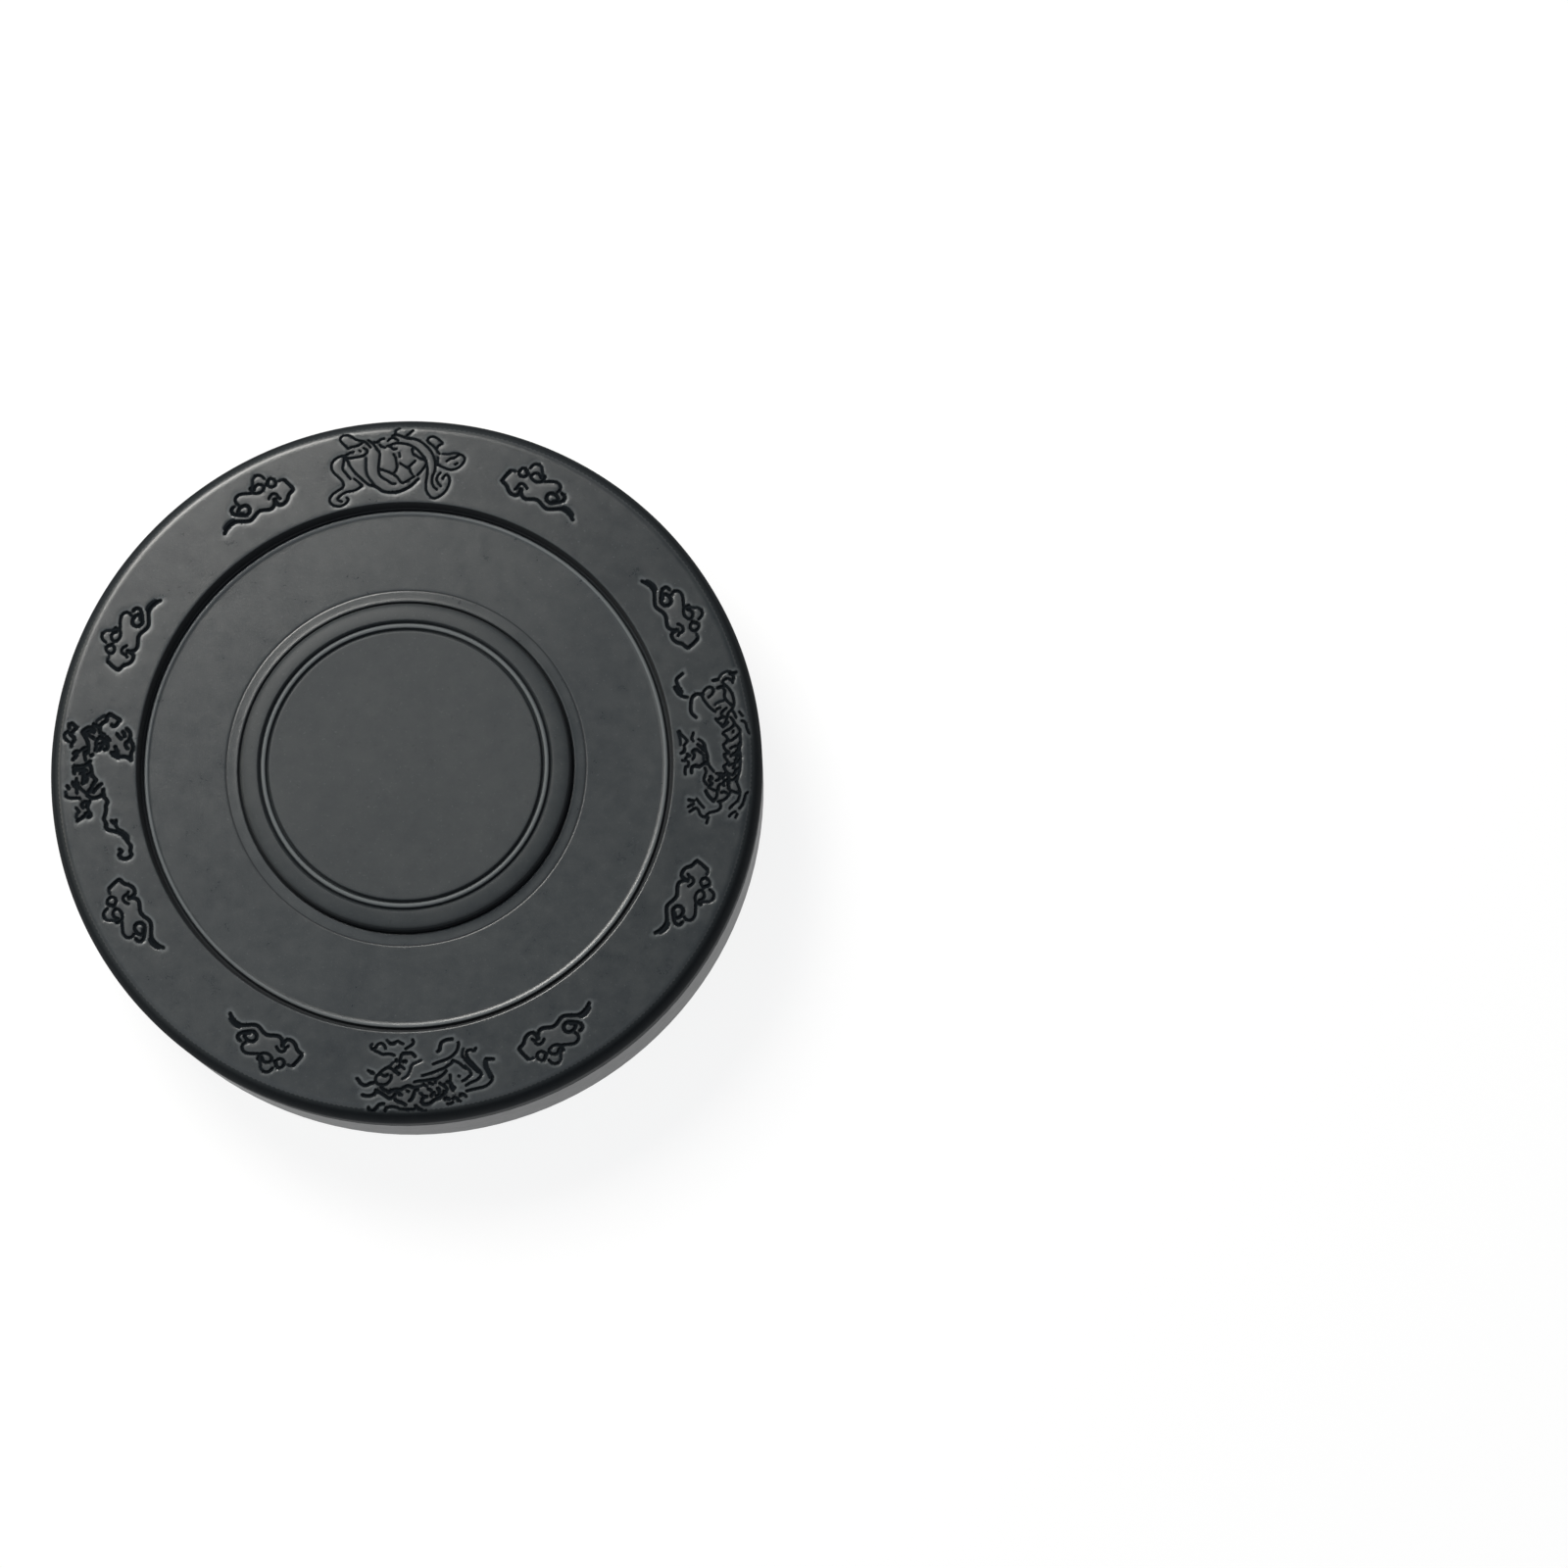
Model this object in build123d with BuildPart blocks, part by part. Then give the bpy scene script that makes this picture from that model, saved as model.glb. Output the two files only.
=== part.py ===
"""Round ink stone of black stone, in two pieces: a base with a grinding hall and an ink pool, and a loose lid.

Units are millimetres.  The origin is on the table, under the centre of the stone, with +Z up.
+Y points at the carved tortoise on the lid's rim and at the ink pool in the base.
"""
import os
from math import cos, pi, sin

from build123d import *

# The whole stone
outer_radius = 65.0
base_height = 19.9
lid_height = 8.6
seam_bevel = 0.4

# Lid, carved side: a broad rim round a sunk field, with a low boss in the middle
rim_width = 16.2
rim_round_run = 2.8
rim_round_drop = 4.8
rim_round_facets = 6
field_depth = 2.8
rim_slope_run = 1.0
rim_channel_width = 0.4
rim_channel_depth = 0.5
boss_radius = 30.4
boss_height = 2.6
boss_slope_run = 0.8
boss_shoulder_run = 1.7
boss_shoulder_drop = 0.4
ring_bead_radius = 25.8
ring_bead_width = 0.7
ring_groove_width = 0.65
ring_groove_depth = 0.75
hairline_radius = 32.85
hairline_width = 0.5
hairline_depth = 0.25

# Lid, underside: a ring that drops into the mouth of the base
spigot_width = 5.0
spigot_height = 2.6
spigot_bevel = 0.5
spigot_clearance = 0.3
lid_recess_depth = 1.0

# Base, from above: the land that carries the lid, the mouth with its ledge, the hall and the pool
land_width = 9.0
ledge_width = 2.5
ledge_gap = 0.6
hall_depth = 8.0
hall_cove = 2.5
hall_cove_facets = 4
pool_margin = 0.4
pool_depth = 5.5
pool_width = 20.0
pool_slope_run = 9.0
pool_bevel = 1.6
grinding_radius = 50.0

# Base, from below: a flat foot ring round a shallow recess
foot_bevel = 0.8
foot_ring_width = 9.0
foot_recess_depth = 1.2
foot_recess_slope_run = 1.2

# How far a cut runs past the surface that it opens
overrun = 1.0

# Heights worked out from the sizes above
seam = base_height
lid_top = seam + lid_height
field = lid_top - field_depth
rim_round_foot = lid_top - rim_round_drop
rim_channel_floor = field - rim_channel_depth
boss_top = field + boss_height
ring_groove_floor = boss_top - ring_groove_depth
spigot_foot = seam - spigot_height
ledge = spigot_foot - ledge_gap
hall_floor = seam - hall_depth
pool_floor = hall_floor - pool_depth

# Radii worked out from the sizes above
rim_inner_radius = outer_radius - rim_width
field_radius = rim_inner_radius - rim_slope_run
boss_crown_radius = boss_radius - boss_slope_run
boss_flat_radius = boss_crown_radius - boss_shoulder_run
bead_outer_radius = ring_bead_radius + ring_bead_width / 2
bead_inner_radius = ring_bead_radius - ring_bead_width / 2
mouth_radius = outer_radius - land_width
spigot_radius = mouth_radius - spigot_clearance
spigot_bore_radius = spigot_radius - spigot_width
hall_radius = mouth_radius - ledge_width
pool_radius = hall_radius - hall_cove - pool_margin
foot_recess_radius = outer_radius - foot_ring_width

# The grinding hall's own centre lies towards -Y, so that the pool beyond its edge is a crescent
grinding_centre = pool_radius - pool_width - grinding_radius


def turned_curve(centre, run, drop, facets):
    """Points along a quarter of an ellipse, which is turned in narrow facets and rubbed round."""
    turns = [pi / 2 * step / facets for step in range(facets + 1)]
    return [(centre[0] + run * cos(turn), centre[1] + drop * sin(turn)) for turn in turns]


# Lid: turned in one piece, with its boss, the bead between two ring grooves, its hairline and its spigot
with BuildPart() as lid:
    with BuildSketch(Plane.XZ):
        with BuildLine():
            Polyline(
                (0, boss_top),
                (0, seam + lid_recess_depth),
                (spigot_bore_radius, seam + lid_recess_depth),
                (spigot_bore_radius, spigot_foot),
                (spigot_radius, spigot_foot),
                (spigot_radius, seam),
                (outer_radius - seam_bevel, seam),
                (outer_radius, seam + seam_bevel),
                *turned_curve(
                    (outer_radius - rim_round_run, rim_round_foot), rim_round_run, rim_round_drop, rim_round_facets
                ),
                (rim_inner_radius, lid_top),
                (field_radius, rim_channel_floor),
                (field_radius - rim_channel_width, field),
                (hairline_radius + hairline_width / 2, field),
                (hairline_radius, field - hairline_depth),
                (hairline_radius - hairline_width / 2, field),
                (boss_radius, field),
                (boss_crown_radius, boss_top - boss_shoulder_drop),
                (boss_flat_radius, boss_top),
                (bead_outer_radius + ring_groove_width, boss_top),
                (bead_outer_radius + ring_groove_width / 2, ring_groove_floor),
                (bead_outer_radius, boss_top),
                (bead_inner_radius, boss_top),
                (bead_inner_radius - ring_groove_width / 2, ring_groove_floor),
                (bead_inner_radius - ring_groove_width, boss_top),
                (0, boss_top),
            )
        make_face()
    revolve(axis=Axis.Z)
    chamfer(lid.edges().group_by(Axis.Z)[0], length=spigot_bevel)
lid.part.label = "lid"

# Ink pool: a round cup, less the stone under the grinding hall, whose edge runs down in one long S
with BuildPart() as ink_pool:
    with BuildSketch(Plane.XY.offset(pool_floor)):
        Circle(pool_radius)
    extrude(amount=pool_depth + overrun)
    chamfer(ink_pool.edges().group_by(Axis.Z)[0], length=pool_bevel)
    with BuildSketch(Plane.XZ.offset(-grinding_centre)):
        with BuildLine():
            Polyline(
                (grinding_radius, hall_floor),
                (0, hall_floor),
                (0, pool_floor),
                (grinding_radius + pool_slope_run, pool_floor),
            )
            Bezier(
                (grinding_radius + pool_slope_run, pool_floor),
                (grinding_radius + pool_slope_run / 2, pool_floor),
                (grinding_radius + pool_slope_run / 2, hall_floor),
                (grinding_radius, hall_floor),
            )
        make_face()
    revolve(axis=Axis((0, grinding_centre, 0), (0, 0, 1)), mode=Mode.SUBTRACT)

# Base: a turned block with its mouth, ledge and hall, into which the pool is cut
with BuildPart() as base:
    with BuildSketch(Plane.XZ):
        with BuildLine():
            Polyline(
                (0, hall_floor),
                (0, foot_recess_depth),
                (foot_recess_radius - foot_recess_slope_run, foot_recess_depth),
                (foot_recess_radius, 0),
                (outer_radius - foot_bevel, 0),
                (outer_radius, foot_bevel),
                (outer_radius, seam - seam_bevel),
                (outer_radius - seam_bevel, seam),
                (mouth_radius + seam_bevel, seam),
                (mouth_radius, seam - seam_bevel),
                (mouth_radius, ledge),
                (hall_radius, ledge),
                *turned_curve(
                    (hall_radius - hall_cove, hall_floor + hall_cove), hall_cove, -hall_cove, hall_cove_facets
                ),
                (0, hall_floor),
            )
        make_face()
    revolve(axis=Axis.Z)
    add(ink_pool.part, mode=Mode.SUBTRACT)
base.part.label = "base"

os.makedirs("parts", exist_ok=True)
export_step(lid.part, "parts/lid.step")
export_step(base.part, "parts/base.step")
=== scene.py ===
"""A round ink stone of black slate: a turned base with its ink hall and pool, under a carved lid.

The sizes of the stone are in millimetres. Lamps and the camera are placed in metres.
"""
import math

import bpy
import numpy as np
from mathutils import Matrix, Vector, geometry


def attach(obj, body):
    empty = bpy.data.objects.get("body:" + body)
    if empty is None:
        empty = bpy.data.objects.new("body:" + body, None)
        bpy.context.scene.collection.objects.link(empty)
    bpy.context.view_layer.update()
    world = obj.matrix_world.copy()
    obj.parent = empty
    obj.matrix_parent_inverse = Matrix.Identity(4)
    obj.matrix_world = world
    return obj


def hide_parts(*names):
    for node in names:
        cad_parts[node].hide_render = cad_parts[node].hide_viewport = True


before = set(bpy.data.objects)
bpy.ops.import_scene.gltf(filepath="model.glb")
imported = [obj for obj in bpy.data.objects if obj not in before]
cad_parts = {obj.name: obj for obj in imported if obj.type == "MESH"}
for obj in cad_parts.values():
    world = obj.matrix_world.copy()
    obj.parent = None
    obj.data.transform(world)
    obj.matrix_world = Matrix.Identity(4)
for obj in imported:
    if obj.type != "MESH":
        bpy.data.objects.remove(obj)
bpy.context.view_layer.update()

# Base
# A block of black slate, turned on a wheel and ground true. Its mouth, ledge and hall are
# turned too, and the ink pool is cut down into the hall with a chisel and rubbed smooth.
# The lid's ring drops into the mouth with a hair of play.
mm = 0.001
outer_wall_from = 63.8
foot_bevel_top = 0.8
slate_dark = (0.019, 0.023, 0.026, 1)
slate_light = (0.031, 0.035, 0.037, 1)
# Pale slate: the stone's grain, pale wear, and painted highlights
slate_pale = (0.13, 0.142, 0.147, 1)
# Near-black slate: the stone's pits, and painted shade in cuts, grooves and on the rounded edge
slate_near_black = (0.002, 0.004, 0.006, 1)


def slate(name, polish, sheen):
    """Black slate. Its stone attribute gives painted shade in cuts (red), pale wear with painted
    highlights (green), and roughness with darkening (blue), painted shade on the rounded edge and side.
    """
    material = bpy.data.materials.new(name)
    material.use_nodes = True
    nodes = material.node_tree.nodes
    link = material.node_tree.links.new
    shader = nodes["Principled BSDF"]
    shader.inputs["Specular IOR Level"].default_value = sheen
    place = nodes.new("ShaderNodeTexCoord").outputs["Object"]

    def noise(scale, detail, rough=0.55):
        node = nodes.new("ShaderNodeTexNoise")
        node.inputs["Scale"].default_value = scale
        node.inputs["Detail"].default_value = detail
        node.inputs["Roughness"].default_value = rough
        link(place, node.inputs["Vector"])
        return node.outputs["Fac"]

    def spread(value, low, high, to_low, to_high):
        node = nodes.new("ShaderNodeMapRange")
        node.inputs["From Min"].default_value = low
        node.inputs["From Max"].default_value = high
        node.inputs["To Min"].default_value = to_low
        node.inputs["To Max"].default_value = to_high
        link(value, node.inputs["Value"])
        return node.outputs["Result"]

    def blend(share, first, second):
        # A colour mix takes its share at socket 0 and its colours at 6 and 7, and gives the result at 2
        node = nodes.new("ShaderNodeMix")
        node.data_type = "RGBA"
        for number, value in ((0, share), (6, first), (7, second)):
            socket = node.inputs[number]
            if isinstance(value, (tuple, float)):
                socket.default_value = value
            else:
                link(value, socket)
        return node.outputs[2]

    def worked_out(kind, first, second):
        node = nodes.new("ShaderNodeMath")
        node.operation = kind
        for socket, value in zip(node.inputs, (first, second)):
            if isinstance(value, float):
                socket.default_value = value
            else:
                link(value, socket)
        return node.outputs[0]

    # The stone itself: broad clouding, fine mottle, pale grain and small dark pits
    clouding = noise(38, 4)
    mottle = noise(330, 5, 0.65)
    grain = noise(1900, 3, 0.7)
    pits = spread(noise(900, 2), 0.66, 0.74, 0.0, 1.0)
    clouds_share = worked_out("MULTIPLY", clouding, 0.5)
    mottle_share = worked_out("MULTIPLY", mottle, 0.5)
    tone = spread(worked_out("ADD", clouds_share, mottle_share), 0.38, 0.62, 0.0, 1.0)
    ground = blend(tone, slate_dark, slate_light)
    speck = spread(grain, 0.62, 0.78, 0.0, 0.35)
    ground = blend(speck, ground, slate_pale)
    ground = blend(worked_out("MULTIPLY", pits, 0.25), ground, slate_near_black)

    # Marks painted on it: painted shade in cuts and grooves (red), pale wear with painted highlights
    # (green), and darkening (blue), which on the rounded edge and the lid's side is painted shade
    marks = nodes.new("ShaderNodeVertexColor")
    marks.layer_name = "stone"
    split = nodes.new("ShaderNodeSeparateColor")
    link(marks.outputs["Color"], split.inputs["Color"])
    ground = blend(split.outputs["Green"], ground, slate_pale)
    ground = blend(worked_out("MULTIPLY", split.outputs["Blue"], 0.85), ground, slate_near_black)
    ground = blend(split.outputs["Red"], ground, slate_near_black)
    link(ground, shader.inputs["Base Color"])

    # Its polish, which cuts and unpolished faces lack, and the feel of its grain
    rough = spread(mottle, 0.3, 0.7, polish - 0.02, polish + 0.03)
    unpolished = worked_out("MAXIMUM", split.outputs["Red"], split.outputs["Blue"])
    rough = worked_out("ADD", rough, worked_out("MULTIPLY", unpolished, 0.4))
    link(rough, shader.inputs["Roughness"])
    relief = worked_out("ADD", worked_out("MULTIPLY", mottle, 0.3), worked_out("MULTIPLY", grain, 0.6))
    relief = worked_out("SUBTRACT", relief, worked_out("MULTIPLY", pits, 0.3))
    bump = nodes.new("ShaderNodeBump")
    bump.inputs["Strength"].default_value = 0.06
    bump.inputs["Distance"].default_value = 0.0004
    link(relief, bump.inputs["Height"])
    link(bump.outputs["Normal"], shader.inputs["Normal"])
    return material


ground_slate = slate("ground_slate", 0.5, 0.45)
base_slate = slate("base_slate", 0.4, 0.23)
foot_slate = slate("foot_slate", 0.55, 0.08)
base_finishes = [ground_slate, base_slate, foot_slate]
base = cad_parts["base"]
base.data.materials.clear()
for finish in base_finishes:
    base.data.materials.append(finish)
for polygon in base.data.polygons:
    centre = polygon.center
    if math.hypot(centre.x, centre.y) > outer_wall_from * mm:
        finish = base_slate if centre.z > foot_bevel_top * mm else foot_slate
        polygon.material_index = base_finishes.index(finish)

# Lid
# A disc of the same slate, turned with a sunk field and a low boss on top and a ring underneath.
# Clouds and the four beasts of the compass are cut into its rim with a graver, then it is waxed.
waxed_slate = slate("waxed_slate", 0.29, 0.5)
# A duller finish for the rounded edge and the lid's side, which the blue mark also paints dark as shade
dull_edge_slate = slate("dull_edge_slate", 0.5, 0.16)
rubbed_slate = slate("rubbed_slate", 0.52, 0.3)
cut_slate = slate("cut_slate", 0.5, 0.18)
lid_finishes = [waxed_slate, dull_edge_slate, rubbed_slate, cut_slate]
columns = 480
stone_radius = 65.0
lid_top = 28.5
field = 25.7
boss_top = 28.3
boss_radius = 30.4
seam = 19.9
rim_flat_inside = 49.1
rim_flat_outside = 62.2
rim_round_run = 2.8
rim_round_drop = 4.8
dull_edge_from = 62.9
dull_edge_top = 28.3
# The drop below the rim at which the rounded edge is fully rough and fully painted dark as shade
edge_rough_and_shade_drop = 0.9

# The carving lies round one radius of the rim, and its band reaches out over the rounded edge
carving_radius = 57.0
carved_outside = 63.5
band_margin = 0.12
ring_points = 440
closest_points = 0.08
stroke_step = 0.28
groove_width = {"deep": 0.84, "plain": 0.7, "faint": 0.8}
groove_depth = {"deep": 0.5, "plain": 0.42, "faint": 0.14}
shoulder_drop = {"deep": 0.04, "plain": 0.035, "faint": 0.015}
# How pale the lips beside a cut are painted: wear and painted highlight
lip_wear_and_highlight = {"deep": 0.55, "plain": 0.36, "faint": 0.12}
shoulder_reach = 0.75
lip_middle = 0.15
lip_reach = 0.45
# Depths in mm: from the first a cut is fully painted dark as shade, beyond the second its lips are not
# painted pale
black_from_depth = 0.08
bare_from_depth = 0.03
# The share of the lips' pale paint, wear and painted highlight, kept inside the bodies
body_lip_share = 0.35

# Strokes are drawn flat, in mm: along the rim, and outward from the carving's radius. A place is an
# angle in degrees round the lid, which way round the drawing is laid, and how far out it is moved.
cloud_deep = [
    [(-7.3, -2.4), (-6.6, -2.05), (-5.8, -1.8), (-5, -1.7), (-4.2, -1.85), (-3.4, -2.3), (-2.6, -2.8),
     (-1.8, -3.1), (-1, -2.95), (-0.2, -2.6), (0.4, -2.45), (0.9, -2.45), (1.5, -2.65), (2.2, -2.95),
     (3, -3.1), (3.6, -2.8), (4, -2.3), (4.2, -1.75)],
    [(4.25, -1.75), (4.3, -2.4), (4.5, -3), (5, -3.25), (5.7, -3.2), (6.3, -2.9), (6.7, -2.5),
     (7, -2.1), (7.6, -1.8), (8.2, -1.5), (8.1, -1), (7.9, -0.4), (7.6, 0.3), (7.4, 0.8)],
    [(-3, 0.75), (-3.5, 0.65), (-3.85, 0.3), (-3.85, -0.1), (-3.6, -0.6), (-3.1, -1), (-2.5, -1.5),
     (-1.9, -1.8), (-1.2, -1.7), (-0.75, -1.2), (-0.8, -0.5), (-1.2, -0.1), (-1.8, 0), (-2.4, -0.1),
     (-2.8, -0.4)],
    [(4.15, 1.35), (4.5, 1.75), (4.8, 2.05)],
]
cloud_plain = [
    [(3.3, -1.2), (3.7, -0.9), (4.2, -0.7), (4.7, -0.8), (5, -1.2), (5, -1.7), (5.3, -2.1)],
    [(-2.1, 0.6), (-2.3, 1.2), (-2.1, 1.8), (-1.6, 2.1), (-1, 2.15), (-0.3, 1.9), (0.3, 1.6),
     (0.9, 1.3)],
    [(1.2, 2.2), (1.15, 1.6), (1.3, 1.1), (1.7, 0.8), (2.3, 0.6), (2.9, 0.7), (3.4, 1), (3.45, 1.5),
     (3.1, 1.95), (2.6, 2.15), (2.1, 1.95), (1.75, 1.6)],
    [(3, 3.8), (3.6, 3.65), (4, 3.2), (4.2, 2.6)],
    [(4.6, 2), (5.1, 2.2), (5.6, 1.8), (5.8, 1.2), (5.6, 0.7), (5.1, 0.5), (4.6, 0.65), (4.25, 1.1)],
]
cloud_faint = [
    [(7.4, 0.8), (7, 1.05), (6.4, 1.05)],
    [(-6.8, -1.6), (-6, -1.25), (-5.2, -1.1), (-4.4, -1.25)],
    [(-2.9, -0.5), (-2.6, -1), (-2.2, -1.2)],
    [(1.3, 2.1), (1.8, 2.4), (2.1, 3), (2.4, 3.5), (3, 3.8)],
]
cloud_places = [
    (59.73, 1, 0.19), (150.14, 1, 0.59), (240.17, 1, 0.06), (329.99, 1, -0.11), (26.97, -1, 0),
    (117.39, -1, 0.55), (207.5, -1, 0.36), (297.35, -1, -0.17),
]

tortoise_place = (-3.13, 1, -0.07)
tortoise_deep = [
    [(-3.6, -4.5), (-3, -4.7), (-2.3, -5.2), (-1.5, -5.8), (-0.5, -6.1), (1, -6.2), (2.2, -6),
     (3.5, -5.5), (4.6, -4.8), (5.4, -4), (5.75, -3.7)],
]
tortoise_plain = [
    [(-6.95, 3.05), (-7.45, 3.85), (-7.85, 4.5), (-8, 5), (-7.65, 5.45), (-7.05, 5.6), (-6.35, 5.4),
     (-5.85, 5), (-5.35, 4.5), (-4.7, 4.15), (-4, 3.95)],
    [(-6.95, 3.05), (-6, 3.2), (-5.2, 3.25), (-4.5, 3.55), (-3.95, 3.85), (-3.5, 3.4), (-3, 2.6)],
    [(-7.9, 1.75), (-7.1, 2), (-6.5, 2.2), (-6.1, 2.2)],
    [(-7.75, 1.55), (-7.2, 1.2), (-6.2, 1.15), (-5.2, 1.15), (-4.5, 1.2), (-3.95, 1.5), (-3.6, 1.85),
     (-3.8, 2.35), (-4.2, 2.65)],
    [(-5, 2.3), (-4.85, 2.1)],
    [(-7.95, 1.9), (-8.6, 1.85), (-9.4, 1.6), (-10.1, 1.1), (-10.5, 0.4), (-10.5, -0.3), (-10.3, -0.9),
     (-9.8, -1.7), (-9.25, -2.5), (-9, -3.2), (-9.15, -3.8), (-9.7, -4.15), (-10.6, -4.4),
     (-11.6, -4.8), (-12.35, -5.4), (-12.5, -6), (-12.2, -6.6), (-11.5, -7.1), (-10.6, -7.3),
     (-9.6, -7.1), (-8.9, -6.7), (-8.7, -6.3), (-9, -6)],
    [(-7.95, 1.7), (-8, 1), (-8.25, 0.4), (-8.5, -0.2), (-8.55, -0.65), (-8.2, -1.4), (-7.8, -2.1),
     (-7.5, -2.7)],
    [(-7.75, 1.2), (-7.5, 1), (-7.3, 0.3), (-6.9, -0.8), (-6.2, -2), (-5.4, -3), (-4.6, -3.9),
     (-3.9, -4.5), (-3.5, -4.55)],
    [(-6.8, -2.8), (-6.3, -3.3), (-5.85, -3.85), (-5.5, -4.3), (-6.2, -4.7), (-7.3, -5), (-8.6, -4.95),
     (-9.6, -5.15), (-10.4, -5.5), (-10.85, -5.9), (-10.5, -6.3), (-10.1, -6.5)],
    [(7, -1), (6.6, -1.7), (6, -2.5), (5.5, -3)],
    [(-1.9, 2), (-1.45, 1.5), (-1.55, 0.5), (-1.75, -0.6), (-1.95, -1.8), (-1.75, -2.8), (-1.2, -3.4),
     (-0.4, -3.9), (0.4, -4.5), (1.2, -4.6)],
    [(-3.2, 4), (-2.6, 3.4), (-2.1, 2.6), (-1.75, 2)],
    [(-2.4, 3.5), (-1.6, 3.45)],
    [(-1.6, 3.5), (-1.1, 3.9), (-0.5, 4.05)],
    [(-1.3, 2.9), (-0.9, 2.5), (-0.4, 2.35)],
    [(0.15, 3.55), (0.5, 3.9), (1, 4.05), (1.5, 3.85), (1.9, 3.5)],
    [(0, 2.6), (0.5, 2.5), (0.7, 2.2), (1.1, 1.9), (1.6, 2)],
    [(0.3, 2.6), (0.9, 2.9)],
    [(1.3, 3), (2.2, 3), (3.2, 2.85), (4.2, 2.5), (5, 2), (5.7, 1.4), (6.3, 0.7), (6.8, 0.2)],
    [(0.9, 4.45), (1.6, 4.6), (2.4, 4.4), (3.1, 4.05)],
    [(3.1, 4.05), (3.5, 4.5), (4, 5), (4.45, 5.35)],
    [(3.4, 3.95), (4.6, 3.8), (5.6, 3.45), (6.6, 2.75), (7.5, 1.9), (8.15, 1), (8.6, 0), (8.8, -1.1),
     (8.75, -2.2), (8.45, -3.2), (8.5, -4.2), (8.9, -5), (9.6, -5.5)],
    [(7, -0.3), (7.2, -1), (7.4, -2), (7.4, -3.2), (7.3, -4.5), (7.4, -5.6), (7.8, -6.3), (8.4, -6.9),
     (9.2, -7.2), (10, -6.9), (10.8, -6.3), (11.4, -5.6), (11.8, -4.6), (11.9, -3.6), (11.6, -2.8),
     (11.1, -2.5), (10.7, -2.9), (10.5, -3.4)],
    [(9.9, -2.3), (9.45, -3), (9.35, -3.7), (9.8, -4.3), (10.3, -4.8)],
    [(8.7, 2), (8.1, 2.6), (7.3, 3.2), (7, 3.7), (7.4, 4.25), (8.1, 4.35), (8.9, 3.95), (9.6, 3.3),
     (9.15, 2.85), (8.7, 2.2), (8.9, 1.7), (9.3, 1.25)],
    [(9.3, -0.9), (9.8, -1.05), (10.8, -1.35), (11.6, -1.5), (12.5, -1.3), (13.3, -0.7), (13.85, 0.1),
     (14, 0.8), (13.8, 1.3), (13.2, 1.6), (12.8, 1.45), (12.1, 0.85), (11.3, 0.5), (10.8, 0)],
    [(12.4, -0.4), (12.8, -0.1)],
    [(1, 1), (1.35, 0.4), (1.5, -0.6), (1.6, -1.5), (1.3, -2.2), (0.75, -2.75)],
    [(-1.75, -1.6), (-0.8, -2), (0.1, -2.4), (0.75, -2.75)],
    [(2.2, -0.8), (2.9, -1.25), (3.6, -1.6), (4.3, -1), (5, -0.35)],
    [(4.4, 1.9), (4.5, 1.2), (4.7, 0.8)],
    [(4.9, 0.75), (5.7, 0.25), (6.4, 0), (7, -0.2)],
    [(1, -2.9), (1.6, -3.4), (2.1, -4.1), (2.55, -4.5), (3.4, -4.2), (4.2, -3.7), (4.9, -3.3)],
    [(3.9, -1.8), (4.2, -2.4), (4.5, -2.9)],
]
tortoise_faint = [
    [(-4, 0.75), (-4.1, -0.2), (-4.25, -1.4), (-4.15, -2.6), (-3.75, -3.4), (-3.3, -4.1), (-3, -4.6)],
    [(1.45, 4.9), (1.6, 5.5), (2.2, 5.8)],
    [(9.9, 1.3), (10.9, 1.35), (11.9, 1.7), (12.8, 1.75)],
    [(9.1, 0.6), (9.2, -0.8)],
    [(2.1, 1.2), (2.15, 0.4)],
]

dragon_place = (85.45, 1, 0.3)
dragon_deep = [
    [(-10.5, 5.3), (-10.4, 4.6), (-10.5, 4.2)],
    [(-10.1, 1.8), (-10.15, 0.8)],
    [(-8.7, 2.2), (-8.65, 1.3)],
    [(-8.3, -2.1), (-8.5, -2.7), (-8.4, -3.1)],
    [(-8.4, -3.1), (-7.9, -3.7), (-7.2, -4), (-6.4, -4.2), (-5.6, -4.35), (-4.9, -4.25), (-4.3, -3.85),
     (-4, -3.6)],
    [(-13.1, -4.1), (-12.7, -4.9), (-12.3, -5.5), (-11.4, -5.6), (-10.5, -5.5), (-9.6, -5.2)],
    [(-10.9, -6.2), (-10.2, -6.1), (-9.4, -5.8), (-8.7, -5.3), (-8.3, -4.5)],
    [(8.3, 1.7), (9, 1.7), (9.6, 1.9)],
    [(10.3, -2.3), (11, -1.9), (11.6, -1.3), (12.1, -0.7)],
    [(7.6, -1.5), (7.85, -1.5)],
    [(12.5, -4.3), (12.4, -5.2)],
    [(1.3, -3.9), (1.8, -3.4), (2.4, -2.9)],
    [(2.4, -4), (2.3, -4.6), (2.8, -4.95)],
    [(4.9, -2.6), (5.4, -3.3), (5.7, -3.8), (5.4, -4.3), (5.6, -4.8)],
    [(5.9, -5.1), (6.9, -5.1)],
    [(2, -6.3), (2.6, -6.5), (2.9, -7)],
    [(7.55, -1.65), (7.8, -1.35)],
]
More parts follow.
